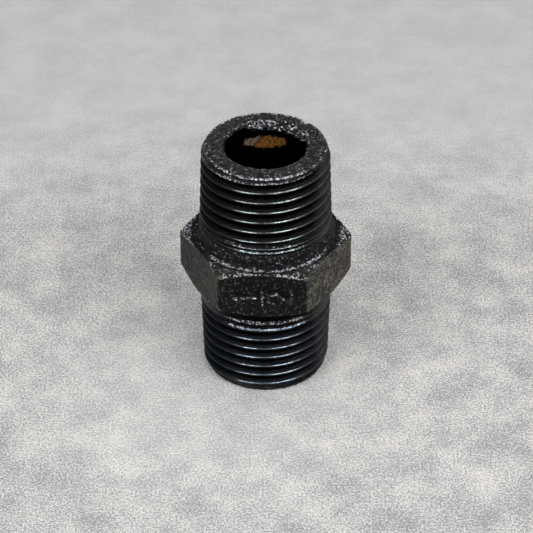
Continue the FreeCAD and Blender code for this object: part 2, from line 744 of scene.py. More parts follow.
class Wiring:
    """Adds shader nodes to one material and joins them."""

    def __init__(self, name: str) -> None:
        """Start an empty node material with that name."""
        self.material = bpy.data.materials.new(name)
        self.material.use_nodes = True
        self.tree = self.material.node_tree
        self.tree.nodes.clear()

    def node(self, kind: str) -> bpy.types.ShaderNode:
        """Add a node of a kind."""
        return self.tree.nodes.new(kind)

    def feed(self, socket: Socket, value: object) -> None:
        """Set a socket, or join it where the value is another node's output."""
        if isinstance(value, Socket):
            self.tree.links.new(value, socket)
        else:
            socket.default_value = value

    def place(self, turn: float = 0.0) -> Socket:
        """Give the object's coordinates in millimetres, turned round the upright axis."""
        coords = self.node("ShaderNodeTexCoord")
        mapping = self.node("ShaderNodeMapping")
        mapping.inputs["Rotation"].default_value = (0, 0, turn)
        mapping.inputs["Scale"].default_value = (1 / MM,) * 3
        self.feed(mapping.inputs["Vector"], coords.outputs["Object"])
        return mapping.outputs["Vector"]

    def place_from(self, bearing_deg: float) -> Socket:
        """Give the coordinates with X to the right as seen from a bearing."""
        return self.place(turn=-math.pi / 2 - math.radians(bearing_deg))

    def axes(self, vector: Socket) -> tuple[Socket, ...]:
        """Split coordinates, a direction or a colour into its three numbers."""
        parts = self.node("ShaderNodeSeparateXYZ")
        self.feed(parts.inputs["Vector"], vector)
        return tuple(parts.outputs)

    def upwards(self) -> Socket:
        """Give how far the surface faces up, from -1 to 1."""
        return self.axes(self.node("ShaderNodeTexCoord").outputs["Normal"])[2]

    def mask(self, mask: Mask) -> Socket:
        """Read one of the mesh's painted masks."""
        attribute = self.node("ShaderNodeAttribute")
        attribute.attribute_name = mask.value
        return attribute.outputs["Fac"]

    def lumps(self, place: Socket, kind: Lumps) -> Socket:
        """Add a field of soft lumps, from 0 to 1, at coordinates in millimetres."""
        lumps = self.node("ShaderNodeTexNoise")
        self.feed(lumps.inputs["Vector"], place)
        lumps.inputs["Scale"].default_value = 1 / kind.size
        lumps.inputs["Detail"].default_value = kind.detail
        lumps.inputs["Roughness"].default_value = kind.rough
        lumps.inputs["Distortion"].default_value = kind.swirl
        return lumps.outputs["Fac"]

    def dots(self, place: Socket, size: float) -> tuple[Socket, Socket]:
        """Strew one spot in each cell of a loose net.

        Args:
            place: The coordinates in millimetres.
            size: The width of a cell in millimetres.

        Returns:
            The distance from the nearest spot in cells, and a number from 0 to 1 for each spot.
        """
        swirl = self.node("ShaderNodeTexNoise")
        self.feed(swirl.inputs["Vector"], place)
        swirl.inputs["Scale"].default_value = 2 / size
        moved = self.node("ShaderNodeVectorMath")
        moved.operation = "MULTIPLY_ADD"
        for socket, value in zip(moved.inputs, (swirl.outputs["Color"], (size,) * 3, place)):
            self.feed(socket, value)
        cells = self.node("ShaderNodeTexVoronoi")
        self.feed(cells.inputs["Vector"], moved.outputs["Vector"])
        cells.inputs["Scale"].default_value = 1 / size
        return cells.outputs["Distance"], self.axes(cells.outputs["Color"])[0]

    def _sum(self, kind: str, first: object, second: object) -> Socket:
        """Work out one step of arithmetic."""
        step = self.node("ShaderNodeMath")
        step.operation = kind
        self.feed(step.inputs[0], first)
        self.feed(step.inputs[1], second)
        return step.outputs[0]

    def plus(self, first: object, second: object) -> Socket:
        """Add two values."""
        return self._sum("ADD", first, second)

    def minus(self, first: object, second: object) -> Socket:
        """Take the second value from the first."""
        return self._sum("SUBTRACT", first, second)

    def times(self, *factors: object) -> Socket:
        """Multiply two or more values."""
        return reduce(lambda one, other: self._sum("MULTIPLY", one, other), factors)

    def squared(self, value: object) -> Socket:
        """Multiply a value by itself."""
        return self._sum("POWER", value, 2.0)

    def larger(self, first: object, second: object) -> Socket:
        """Give the larger of two values."""
        return self._sum("MAXIMUM", first, second)

    def gap(self, value: object, middle: float) -> Socket:
        """Give how far a value lies from a middle."""
        return self._sum("ABSOLUTE", self.minus(value, middle), 0.0)

    def sway(self, lumps: Socket, width: object) -> Socket:
        """Let a field of lumps swing to both sides of nothing over a width."""
        return self.times(self.minus(lumps, 0.5), width)

    def rise(self, value: object, step: Step, bottom: float = 0.0, top: float = 1.0) -> Socket:
        """Ease a value over a step.

        Args:
            value: The value or socket to read.
            step: Where the rise starts and where it is complete.
            bottom: What it gives at the start.
            top: What it gives at the end.

        Returns:
            The eased value's socket.
        """
        ramp = self.node("ShaderNodeMapRange")
        ramp.interpolation_type = "SMOOTHSTEP"
        self.feed(ramp.inputs["Value"], value)
        names = ("From Min", "From Max", "To Min", "To Max")
        for name, number in zip(names, (step.low, step.high, bottom, top)):
            ramp.inputs[name].default_value = number
        return ramp.outputs["Result"]

    def _blend(self, kind: Blend, share: object, first: object, second: object) -> Socket:
        """Mix two values of one kind by a share."""
        step = self.node("ShaderNodeMix")
        step.data_type = "RGBA" if kind is Blend.COLOUR else "FLOAT"
        inputs = (("Factor", Blend.NUMBER, share), ("A", kind, first), ("B", kind, second))
        for name, sort, value in inputs:
            socket = next(s for s in step.inputs if s.name == name and s.type == sort.value)
            self.feed(socket, (*value, 1.0) if isinstance(value, tuple) else value)
        return next(s for s in step.outputs if s.type == kind.value)

    def mix(self, share: object, first: object, second: object) -> Socket:
        """Mix two numbers by a share."""
        return self._blend(Blend.NUMBER, share, first, second)

    def tint(self, share: object, first: object, second: object) -> Socket:
        """Mix two colours by a share."""
        return self._blend(Blend.COLOUR, share, first, second)

    def output(self, shader: bpy.types.ShaderNode) -> bpy.types.Material:
        """Give the material once its surface is joined to a shader."""
        output = self.node("ShaderNodeOutputMaterial")
        self.feed(output.inputs["Surface"], shader.outputs["BSDF"])
        return self.material


@dataclass
class Coats:
    """The coats of one finish, laid over each other from the bottom up."""

    net: Wiring
    colour: object
    roughness: object
    metal: object
    relief: object

    def lay(
        self,
        share: object,
        colour: object,
        roughness: object,
        metal: object,
        relief: object | None = None,
    ) -> None:
        """Lay a coat over the ones below it.

        Args:
            share: How much of the surface it covers.
            colour: Its colour.
            roughness: Its roughness.
            metal: How metallic it is.
            relief: Its height, or none where it follows what is under it.
        """
        self.colour = self.net.tint(share, self.colour, colour)
        self.roughness = self.net.mix(share, self.roughness, roughness)
        self.metal = self.net.mix(share, self.metal, metal)
        if relief is not None:
            self.relief = self.net.mix(share, self.relief, relief)


@dataclass(frozen=True)
class Lacquer:
    """Black lacquer over the cut threads, with painted shade in the grooves and bore and a painted
    bluish light low down.
    """

    colour: Colour = (0.0035, 0.0037, 0.0042)
    # bluish_light is a painted bluish light on the lower thread; groove_shade is painted shade.
    bluish_light: Colour = (0.0026, 0.0040, 0.0070)
    groove_shade: Colour = (0.0014, 0.0014, 0.0016)
    roughness: float = 0.26
    grain_lumps: Lumps = Lumps(0.3, 2.0, 0.6)
    grain_height: float = 0.12
    specular: float = 0.22
    height: Step = Step(12.0, 24.0)
    underside: Step = Step(0.45, 0.2)
    groove: Step = Step(0.5, 0.2)

    def coats(self, net: Wiring, place: Socket) -> Coats:
        """Start a finish with this lacquer, with painted bluish light low down and painted shade,
        near-black, on undersides, in the grooves and over the bore's wall.

        Args:
            net: The material's nodes.
            place: The coordinates in millimetres.

        Returns:
            The coats, with only the lacquer laid.
        """
        fine = net.lumps(place, self.grain_lumps)
        underside = net.rise(net.upwards(), self.underside)
        # Painted shade: undersides and the low parts of the ridges, the whole bore included, turn
        # near-black and fully metallic.
        shade_share = net.larger(underside, net.rise(net.mask(Mask.CREST), self.groove))
        # Painted bluish light: the lacquer turns bluer low down, on the lower thread.
        colour = net.tint(net.rise(net.axes(place)[2], self.height), self.bluish_light, self.colour)
        colour = net.tint(shade_share, colour, self.groove_shade)
        return Coats(net, colour, self.roughness, shade_share, net.times(fine, self.grain_height))


@dataclass(frozen=True)
class RightSideLight:
    """Painted light on the right of the threads: a paler, dull warm-grey coat that also dulls
    them.
    """

    colour: Colour = (0.040, 0.037, 0.034)
    thin: Colour = (0.022, 0.020, 0.019)
    roughness: float = 0.6
    patch_lumps: Lumps = Lumps(1.4, 5.0, 0.7)
    patches: Step = Step(0.35, 0.6)
    ragged: float = 2.0
    reach_in: Step = Step(7.2, 9.8)

    def lay_on(self, coats: Coats, place: Socket) -> None:
        """Lay the painted light on the right over the coats so far."""
        net = coats.net
        across = net.axes(net.place_from(FRONT_DEG))[0]
        patches = net.lumps(place, self.patch_lumps)
        share = net.rise(net.plus(across, net.sway(patches, self.ragged)), self.reach_in)
        colour = net.tint(net.rise(patches, self.patches), self.thin, self.colour)
        coats.lay(share, colour, self.roughness, 0.0)


@dataclass(frozen=True)
class CastSkin:
    """Black lacquer over the wrinkled skin of the casting, with dust in it."""

    colour: Colour = (0.0045, 0.0045, 0.0045)
    speck: Colour = (0.095, 0.095, 0.095)
    haze: Colour = (0.017, 0.016, 0.0145)
    dust: Colour = (0.262, 0.237, 0.172)
    roughness: float = 0.38
    metal: float = 0.6
    wrinkle_lumps: Lumps = Lumps(2.1, 2.0, 0.55, 1.5)
    wrinkle_height: float = 1.0
    pore_lumps: Lumps = Lumps(0.42, 2.0, 0.6)
    pore_height: float = 0.6
    wrinkle_floor: Step = Step(0.065, 0.015)
    filled_pores: Step = Step(0.34, 0.54)
    specks: Step = Step(0.56, 0.68)
    hazy: Step = Step(0.0, 0.6)

    def lay_on(self, coats: Coats, place: Socket) -> None:
        """Lay the skin over the coats so far."""
        net = coats.net
        folds = net.lumps(place, self.wrinkle_lumps)
        pores = net.lumps(place, self.pore_lumps)
        fold = net.gap(folds, 0.5)
        # The dust mask also carries painted light: more of it, and lighter, on the right flat.
        dusty = net.mask(Mask.DUST)
        lines = net.rise(fold, self.wrinkle_floor)
        dust = net.times(lines, net.rise(pores, self.filled_pores), dusty)
        wrinkles = net.times(fold, self.wrinkle_height)
        relief = net.plus(wrinkles, net.times(pores, self.pore_height))
        haze = net.rise(dusty, self.hazy)
        colour = net.tint(net.rise(pores, self.specks), self.colour, self.speck)
        colour = net.tint(dust, net.tint(haze, colour, self.haze), self.dust)
        metal = net.mix(haze, self.metal, 0.0)
        coats.lay(net.mask(Mask.CAST), colour, self.roughness, metal, relief)


@dataclass(frozen=True)
class EndFace:
    """The faced end, dull under the lacquer and full of fine pale specks, which are painted
    glints.
    """

    colour: Colour = (0.005, 0.005, 0.005)
    worn: Colour = (0.051, 0.050, 0.049)
    speck: Colour = (0.46, 0.47, 0.48)
    roughness: float = 0.5
    patch_lumps: Lumps = Lumps(0.8, 5.0, 0.8)
    patches: Step = Step(0.44, 0.58)
    speck_lumps: Lumps = Lumps(0.36, 2.0, 0.7)
    speck_height: float = 0.5
    specks: Step = Step(0.60, 0.69)

    def lay_on(self, coats: Coats, place: Socket) -> None:
        """Lay the dull end with its specks over the coats so far."""
        net = coats.net
        patches = net.lumps(place, self.patch_lumps)
        specks = net.lumps(place, self.speck_lumps)
        colour = net.tint(net.rise(patches, self.patches), self.colour, self.worn)
        # Painted glints: the pale specks are plain colour, bright from any side.
        colour = net.tint(net.rise(specks, self.specks), colour, self.speck)
        relief = net.times(specks, self.speck_height)
        coats.lay(net.mask(Mask.FACE), colour, self.roughness, 0.0, relief)


@dataclass(frozen=True)
class Glint:
    """Rough edges under thick lacquer, strewn with painted glints: pale dots, partly plain colour,
    that shine from any side.
    """

    colour: Colour = (0.05, 0.05, 0.053)
    spark: Colour = (0.90, 0.93, 1.0)
    roughness: float = 0.32
    blister_lumps: Lumps = Lumps(0.36, 2.0, 0.5)
    lump_height: float = 0.95
    ridge_height: float = 0.3
    ridge: Step = Step(0.6, 0.8)
    spark_size: float = 0.32
    spark_metal: float = 0.62
    spark_edge: Step = Step(0.60, 0.42)
    luck: Step = Step(1.0, 1.15)
    cover: Step = Step(0.0, 0.6)

    def lay_on(self, coats: Coats, place: Socket) -> None:
        """Lay the rough lacquered edges and their painted glints over the coats so far."""
        net = coats.net
        blisters = net.lumps(place, self.blister_lumps)
        share = net.mask(Mask.GLINT)
        away, luck = net.dots(place, self.spark_size)
        lit = net.rise(net.plus(luck, share), self.luck)
        sparks = net.times(net.rise(away, self.spark_edge), lit)
        colour = net.tint(sparks, self.colour, self.spark)
        crest = net.mask(Mask.CREST)
        swell = net.rise(crest, self.ridge, self.lump_height, self.ridge_height)
        relief = net.plus(net.sway(blisters, swell), self.lump_height / 2)
        # Painted glints: the sparks are only partly metallic, so their pale colour shows bright
        # from any side.
        metal = net.mix(sparks, 1.0, self.spark_metal)
        coats.lay(net.rise(share, self.cover), colour, self.roughness, metal, relief)


@dataclass(frozen=True)
class PaintedCrestHighlight:
    """Painted highlights on the thread crests: smooth metal laid only where the lamps' reflections
    fall from the front, with a brown fringe below.
    """

    colour: Colour = (0.40, 0.52, 0.55)
    # bluish_light paints the lower thread's highlights bluer; brown_fringe is a painted fringe
    # under each highlight.
    bluish_light: Colour = (0.31, 0.47, 0.62)
    dull: Colour = (0.13, 0.12, 0.11)
    brown_fringe: Colour = (0.40, 0.32, 0.26)
    roughness: float = 0.17
    height: Step = Step(16.0, 24.0)
    brown_fringe_tilt: Step = Step(0.62, 0.54)
    patch_lumps: Lumps = Lumps(0.8, 4.0, 0.7)
    patches: Step = Step(0.36, 0.56)
    ridge: Step = Step(0.66, 0.86)
    least_tilt: Step = Step(0.46, 0.58)
    most_tilt: Step = Step(0.77, 0.69)
    left: Step = Step(-5.4, -3.6)
    left_level: float = 0.04
    right: Step = Step(6.4, 4.0)
    right_level: float = 0.12
    middle: float = -0.2
    middle_gap: Step = Step(0.3, 2.0)
    middle_level: float = 0.25

    def lay_on(self, coats: Coats, place: Socket) -> None:
        """Lay the painted crest highlights, bluer on the lower thread, over the coats so far."""
        net = coats.net
        across, _, height = net.axes(net.place_from(FRONT_DEG))
        up = net.upwards()
        shine = net.tint(net.rise(height, self.height), self.bluish_light, self.colour)
        patches = net.lumps(place, self.patch_lumps)
        shine = net.tint(net.rise(up, self.brown_fringe_tilt), shine, self.brown_fringe)
        colour = net.tint(net.rise(patches, self.patches), self.dull, shine)
        # Painted highlight: the share is cut to the tilts that face the lamps, fades to the sides
        # and dips in the middle, between the two lamps.
        share = net.times(
            net.rise(net.mask(Mask.CREST), self.ridge),
            net.rise(up, self.least_tilt),
            net.rise(up, self.most_tilt),
            net.rise(across, self.left, self.left_level),
            net.rise(across, self.right, self.right_level),
            net.rise(net.gap(across, self.middle), self.middle_gap, self.middle_level),
        )
        coats.lay(share, colour, self.roughness, 1.0)


@dataclass(frozen=True)
class WornEdge:
    """Edges where the lacquer has rubbed through to brown iron."""

    colour: Colour = (0.16, 0.125, 0.085)
    roughness: float = 0.55
    patch_lumps: Lumps = Lumps(0.8, 5.0, 0.7)
    bare: Step = Step(0.6, 0.8)

    def lay_on(self, coats: Coats, place: Socket) -> None:
        """Lay the bare edges, broken up into patches, over the coats so far."""
        net = coats.net
        patches = net.minus(net.lumps(place, self.patch_lumps), 0.5)
        share = net.rise(net.plus(net.mask(Mask.EDGE), patches), self.bare)
        coats.lay(share, self.colour, self.roughness, 0.0)


@dataclass(frozen=True)
class RustInLight:
    """The rusty wall of the bore, shown only where the light reaches it, paler and scored at its
    left.
    """

    colour: Colour = (0.235, 0.095, 0.0175)
    pit: Colour = (0.07, 0.025, 0.006)
    pale: Colour = (0.20, 0.152, 0.110)
    roughness: float = 0.9
    bearing_deg: float = 122.6
    left: Step = Step(-3.55, -3.25)
    right: Step = Step(3.45, 3.15)
    low: Step = Step(36.8, 37.0)
    high: Step = Step(39.2, 39.0)
    wall: Step = Step(0.5, 1.0)
    bow: float = 0.33
    ragged_lumps: Lumps = Lumps(0.9, 5.0, 0.7)
    ragged_side: float = 1.6
    ragged_level: float = 2.2
    slant_height: float = 38.0
    pale_end: Step = Step(-1.2, -1.5)
    score_place: float = -1.35
    score: Step = Step(0.14, 0.34)
    pit_lumps: Lumps = Lumps(0.3, 3.0, 0.7)
    pits: Step = Step(0.40, 0.53)

    def lay_on(self, coats: Coats, place: Socket) -> None:
        """Lay the lit patch of rust over the coats so far."""
        net = coats.net
        across, depth, height = net.axes(place)
        ragged = net.lumps(place, self.ragged_lumps)
        side = net.plus(across, net.sway(ragged, self.ragged_side))
        level = net.plus(height, net.sway(ragged, self.ragged_level))
        bow = net.squared(net.times(across, self.bow))
        # The patch's sides and lower edge are where the light stops: the curved lower edge is the
        # painted shadow of the near rim; above it the lacquer covers the wall.
        share = net.times(
            net.mask(Mask.BORE),
            net.rise(side, self.left),
            net.rise(side, self.right),
            net.rise(net.minus(level, bow), self.low),
            net.rise(level, self.high),
            net.rise(depth, self.wall),
        )
        slant = net.minus(across, net.minus(height, self.slant_height))
        pits = net.rise(net.lumps(place, self.pit_lumps), self.pits)
        score = net.rise(net.gap(slant, self.score_place), self.score)
        colour = net.tint(net.rise(slant, self.pale_end), self.colour, self.pale)
        colour = net.tint(net.times(pits, score), self.pit, colour)
        coats.lay(share, colour, self.roughness, 0.0)


@dataclass(frozen=True)
class BlackIron:
    """The whole finish of the nipple, which its masks divide between the parts of its surface."""

    lacquer: Lacquer = Lacquer()
    right_light: RightSideLight = RightSideLight()
    skin: CastSkin = CastSkin()
    face: EndFace = EndFace()
    glint: Glint = Glint()
    crest: PaintedCrestHighlight = PaintedCrestHighlight()
    edge: WornEdge = WornEdge()
    lit_rust: RustInLight = RustInLight()

    def material(self) -> bpy.types.Material:
        """Lay the coats in order and join them to the shader.

        Returns:
            The node material.
        """
        net = Wiring("black_iron")
        place = net.place()
        coats = self.lacquer.coats(net, place)
        for coat in (self.right_light, self.skin, self.face, self.glint, self.crest, self.edge):
            coat.lay_on(coats, place)
        behind = math.pi / 2 - math.radians(self.lit_rust.bearing_deg)
        self.lit_rust.lay_on(coats, net.place(turn=behind))
        shader = net.node("ShaderNodeBsdfPrincipled")
        shader.inputs["Specular IOR Level"].default_value = self.lacquer.specular
        net.feed(shader.inputs["Base Color"], coats.colour)
        net.feed(shader.inputs["Metallic"], coats.metal)
        net.feed(shader.inputs["Roughness"], coats.roughness)
        bump = net.node("ShaderNodeBump")
        bump.inputs["Distance"].default_value = MM
        net.feed(bump.inputs["Height"], coats.relief)
        net.feed(shader.inputs["Normal"], bump.outputs["Normal"])
        return net.output(shader)


@dataclass(frozen=True)
class Drips:
    """Lacquer that has run over the back of the upper mouth: a lip with drops in a row on it."""

    first_deg: float = 137.0
    step_deg: float = -14.8
    count: int = 6
    width: float = 0.62 * MM
    hang: float = 0.55 * MM
    bulge: float = 0.4 * MM
    outline: Step = Step(1.0, 0.4)
    wall_radius: float = 6.75 * MM
    mouth_radius: float = 7.1 * MM
    lip: float = 0.4 * MM
    lip_depth: float = 0.95 * MM
    lip_end: float = 1.9
    lip_half_deg: float = 56.0
    lip_full: float = 0.7

    def behind(self, at: Vector) -> float:
        """Tell how far a point lies within the lip's part of the mouth."""
        middle = math.radians(self.first_deg + self.step_deg * (self.count - 1) / 2)
        part = deg_step(self.lip_half_deg, self.lip_full * self.lip_half_deg)
        return part(angle_between(bearing(at), middle))

    def share(self, at: Vector, top: float) -> float:
        """Tell how far a point lies in one of the drops.

        Args:
            at: The point.
            top: The height of the upper end face.

        Returns:
            A number from 0 to 1.
        """
        if reach(at) > self.mouth_radius or at.z < top - 3 * self.hang:
            return 0.0
        turns = [math.radians(self.first_deg + self.step_deg * i) for i in range(self.count)]
        aside = min(angle_between(bearing(at), turn) for turn in turns) * reach(at)
        out = max(reach(at) - self.wall_radius, 0.0)
        below = top - self.hang - at.z - out
        return self.outline(math.hypot(aside / self.width, below / self.hang))

    def push(self, at: Vector, top: float) -> Vector:
        """Give how far the drops push a point of the bore inwards.

        Args:
            at: The point.
            top: The height of the upper end face.

        Returns:
            The move towards the bore's axis.
        """
        below = top - at.z
        if reach(at) > self.mouth_radius or below > 3 * self.lip_depth:
            return Vector()
        lip = Step(0.0, self.lip_depth)(below)
        lip *= Step(self.lip_end * self.lip_depth, self.lip_depth)(below)
        push = self.lip * lip * self.behind(at) + self.bulge * self.share(at, top)
        return Vector((-at.x, -at.y, 0)).normalized() * push


@dataclass(frozen=True)
class Spot:
    """One point of the surface, with the measures that its masks are painted by."""

    at: Vector
    up: float
    height: float
    radius: float
    end_gap: float
    aside: float
    inside: bool
    below: float
    cast: float
    on_side: float
    marked: float


@dataclass(frozen=True)
class Painter:
    """Paints the masks of the finish on the casting."""

    total_length: float
    hexagon: SpannerHexagon
    mark: SizeMark
    drips: Drips
    bore_wall: float = 6.6 * MM
    bore_start: float = 0.3 * MM
    underside_depth: float = 0.1 * MM
    cast_edge: Step = mm_step(13.4, 14.4)
    cast_below: Step = mm_step(15.7, 16.7)
    side: Step = mm_step(11.9, 12.1)
    marked_flat: Step = mm_step(11.6, 11.9)
    face_edge: Step = mm_step(0.25, 0.05)
    upper_part: Step = mm_step(0.0, 20.0)
    lower_part: Step = mm_step(20.0, 16.0)
    thread_start: Step = mm_step(0.9, 1.3)
    thread_stop: Step = mm_step(14.3, 14.0)
    start_height: float = 0.55
    run_out_start: Step = mm_step(12.1, 12.7)
    run_out_tilt: Step = Step(0.4, 0.6)
    run_out_front: Step = Step(0.75, 0.45)
    run_out_share: float = 0.35
    run_out_lower: float = 0.5
    rim_radius: Step = mm_step(9.2, 9.35)
    rim_line: Step = mm_step(0.35, 0.2)
    rim_line_share: float = 0.8
    rim_ridge_place: float = 0.9 * MM
    rim_ridge: Step = mm_step(0.35, 0.15)
    rim_ridge_share: float = 0.9
    rim_depth: Step = mm_step(1.5, 1.1)
    rim_share: float = 0.15
    rim_front: Step = Step(0.8, 0.6)
    rim_least: float = 0.5
    mouth_depth: Step = mm_step(0.7, 0.3)
    mouth_radius: Step = mm_step(7.4, 6.9)
    mouth_share: float = 0.3
    lip_depth: Step = mm_step(1.4, 1.0)
    lip_radius: Step = mm_step(8.0, 7.3)
    lip_share: float = 0.24
    shoulder_gap: Step = mm_step(1.2, 0.5)
    shoulder_radius: Step = mm_step(10.8, 11.0)
    shoulder_front: Step = Step(0.88, 0.72)
    shoulder_least: float = 0.25
    shoulder_share: float = 0.14
    foot_radius: float = 11.2 * MM
    foot_width: Step = mm_step(0.32, 0.14)
    crown_width: Step = mm_step(0.3, 0.15)
    crown_aside: Step = Step(0.9, 0.97)
    crown_least: float = 0.3
    crown_side_share: float = 0.6
    seam_place: float = 14.3 * MM
    seam_width: Step = mm_step(0.25, 0.1)
    seam_front: Step = Step(0.75, 0.4)
    seam_share: float = 0.7
    figure_share: float = 0.40
    neck_share: float = 0.2
    dust_level: float = 0.37
    dust_and_light_swing: float = 0.39
    upright_width: Step = mm_step(0.35, 0.1)
    upright_end: Step = mm_step(0.1, 0.4)
    upright_share: float = 0.5
    point_width: Step = mm_step(0.8, 0.3)
    point_depth: Step = mm_step(0.9, 0.6)
    point_share: float = 0.55
    front_point: Step = Step(0.5, 0.3)
    front_point_share: float = 0.25
    flat_edge: float = 0.3 * MM
    foot_turn: Step = deg_step(32.0, 25.0)
    foot_line: Step = mm_step(0.3, 0.1)
    foot_share: float = 0.72

    def paint(self, bm: BMesh) -> None:
        """Paint every mask.

        Args:
            bm: The nipple's mesh.
        """
        made = bm.verts.layers.float
        layers = {mask: made.get(mask.value) or made.new(mask.value) for mask in Mask}
        bm.normal_update()
        for vert in bm.verts:
            spot = self._spot(vert, vert[layers[Mask.CREST]])
            for mask, value in self._values(spot).items():
                vert[layers[mask]] = value

    def _spot(self, vert: BMVert, height: float) -> Spot:
        """Measure a point.

        Args:
            vert: The point.
            height: How high it lies on its ridge, from 0 to 1.

        Returns:
            Its measures.
        """
        at, radius = vert.co, reach(vert.co)
        end_gap = min(at.z, self.total_length - at.z)
        inside = radius < self.bore_wall
        below = Step(self.hexagon.low, self.hexagon.low - self.underside_depth)(at.z)
        return Spot(
            at=at,
            up=vert.normal.z,
            height=height,
            radius=radius,
            end_gap=end_gap,
            aside=abs(math.sin(bearing(at) - math.radians(FRONT_DEG))),
            inside=inside,
            below=below,
            cast=0.0 if inside else self.cast_edge.towards(self.cast_below, below)(end_gap),
            on_side=self.side(radius),
            marked=self.marked_flat(at.dot(self.mark.outwards)),
        )

    def _values(self, spot: Spot) -> dict[Mask, float]:
        """Give every mask's value at a point.

        Args:
            spot: The point.

        Returns:
            The values, from 0 to 1.
        """
        drip = self.drips.share(spot.at, self.total_length)
        # Dust is real, but its swing round the nipple is painted light: the right flat gets most
        # and looks lighter, the left flat little and looks darker.
        dust = self.dust_level + self.dust_and_light_swing * math.cos(bearing(spot.at))
        # Each share below is rough lacquer with painted glints, set most where the lamps'
        # reflections fall from the front.
        rough = (
            self._rim(spot),
            self._mouth(spot, drip),
            self._run_out(spot),
            self._shoulder(spot),
            self._crown(spot),
            self._seam(spot),
            self._figures(spot),
            self.neck_share * spot.cast * (1 - spot.on_side) * (1 - spot.below),
        )
        return {
            Mask.CAST: spot.cast,
            Mask.DUST: spot.cast * spot.on_side * (1 - spot.marked) * dust,
            Mask.FACE: self.face_edge(spot.end_gap),
            # Drops take the crest mask, so the painted crest highlight falls on their tops;
            # elsewhere in the bore it is nought, so the lacquer's painted shade blackens the wall.
            Mask.CREST: max(drip, 0.0 if spot.inside else self._crest(spot)),
            Mask.GLINT: max(rough),
            Mask.BORE: float(spot.inside and spot.end_gap > self.bore_start),
            Mask.EDGE: self._edge(spot),
        }

    def _crest(self, spot: Spot) -> float:
        """Give the height on a ridge, evened out at the start of the thread, and mark the rim's
        edge for a painted highlight line.
        """
        ridge = spot.height - self.start_height
        ridge = self.start_height + ridge * self.thread_start(spot.end_gap)
        ridge *= self.thread_stop(spot.end_gap)
        return max(ridge, self.rim_radius(spot.radius) * self.rim_line(spot.end_gap))

    def _rim(self, spot: Spot) -> float:
        """Give the roughness and painted glints of an end's rim and first ridge, most of all on
        the upper end and at the front.
        """
        rough = max(
            self.rim_line_share * self.rim_line(spot.end_gap),
            self.rim_ridge_share * self.rim_ridge(abs(spot.end_gap - self.rim_ridge_place)),
            self.rim_share * self.rim_depth(spot.end_gap),
        )
        front = self.rim_least + (1 - self.rim_least) * self.rim_front(spot.aside)
        return self.rim_radius(spot.radius) * rough * self.upper_part(spot.at.z) * front

    def _mouth(self, spot: Spot, drip: float) -> float:
        """Give the roughness and painted glints round the bore's mouth, which are wider on the
        lip.
        """
        lip = self.drips.behind(spot.at)
        mouth = self.mouth_depth.towards(self.lip_depth, lip)(spot.end_gap)
        mouth *= self.mouth_radius.towards(self.lip_radius, lip)(spot.radius)
        return mouth * (self.mouth_share + self.lip_share * lip) * (1 - drip)

    def _run_out(self, spot: Spot) -> float:
        """Give the roughness and painted glints of the last turns, more on the lower thread and at
        the front.
        """
        run_out = self.run_out_start(spot.end_gap) * self.thread_stop(spot.end_gap)
        run_out *= self.run_out_tilt(spot.up) * self.run_out_front(spot.aside)
        return run_out * (self.run_out_share + self.run_out_lower * self.lower_part(spot.at.z))

    def _shoulder(self, spot: Spot) -> float:
        """Give the roughness and painted glints of the upper shoulder, most of all along the foot
        of the neck, at front and back.
        """
        height = spot.at.z
        level = min(abs(height - self.hexagon.low), abs(height - self.hexagon.high))
        foot = self.foot_width(abs(spot.radius - self.foot_radius))
        front = (1 - self.shoulder_least) * self.shoulder_front(spot.aside)
        shoulder = self.shoulder_gap(level) * self.shoulder_radius(spot.radius)
        shoulder *= max(self.shoulder_share, foot) * (1 - spot.on_side)
        return shoulder * (self.shoulder_least + front) * (1 - spot.below)

    def _crown(self, spot: Spot) -> float:
        """Give the roughness and painted glints of the hexagon's upper edge, most of all over the
        front flat.
        """
        gap = abs(spot.at.z - self.hexagon.end_height(spot.at, 1))
        bright = max(spot.marked, self.crown_side_share * self.crown_aside(spot.aside))
        share = self.crown_least + (1 - self.crown_least) * bright
        return spot.on_side * self.crown_width(gap) * share

    def _seam(self, spot: Spot) -> float:
        """Give the roughness and painted glints of the line where the lower thread meets its neck.
        """
        seam = self.seam_width(abs(spot.end_gap - self.seam_place))
        seam *= self.lower_part(spot.at.z)
        return seam * self.seam_share * self.seam_front(spot.aside)

    def _figures(self, spot: Spot) -> float:
        """Give the roughness and painted glints of the raised figures."""
        if spot.marked > 0 and spot.cast > 0:
            return self.figure_share * spot.marked * self.mark.share(spot.at)
        return 0.0

    def _edge(self, spot: Spot) -> float:
        """Give how far a point lies on one of the hexagon's worn edges.

        Args:
            spot: The point.

        Returns:
            A number from 0 to 1.
        """
        at, hexagon = spot.at, self.hexagon
        if spot.radius < hexagon.flat_distance - self.flat_edge:
            return 0.0
        turn = bearing(at)
        corners = (math.pi / SIDES + k * FULL_TURN / SIDES for k in range(SIDES))
        corner_gap = min(angle_between(turn, corner) for corner in corners) * spot.radius
        foot_gap = abs(at.z - hexagon.end_height(at, -1))
        end_gap = min(abs(at.z - hexagon.end_height(at, 1)), foot_gap)
        upright = self.upright_width(corner_gap) * self.upright_end(end_gap)
        front = self.front_point(angle_between(turn, -math.pi / 2))
        point = self.point_share + self.front_point_share * front
        point *= self.point_width(math.hypot(corner_gap, end_gap))
        point *= self.point_depth(hexagon.corner_distance - spot.radius)
        foot = self.foot_turn(abs(turn)) * self.foot_line(foot_gap)
        return max(self.upright_share * upright, point, self.foot_share * foot)


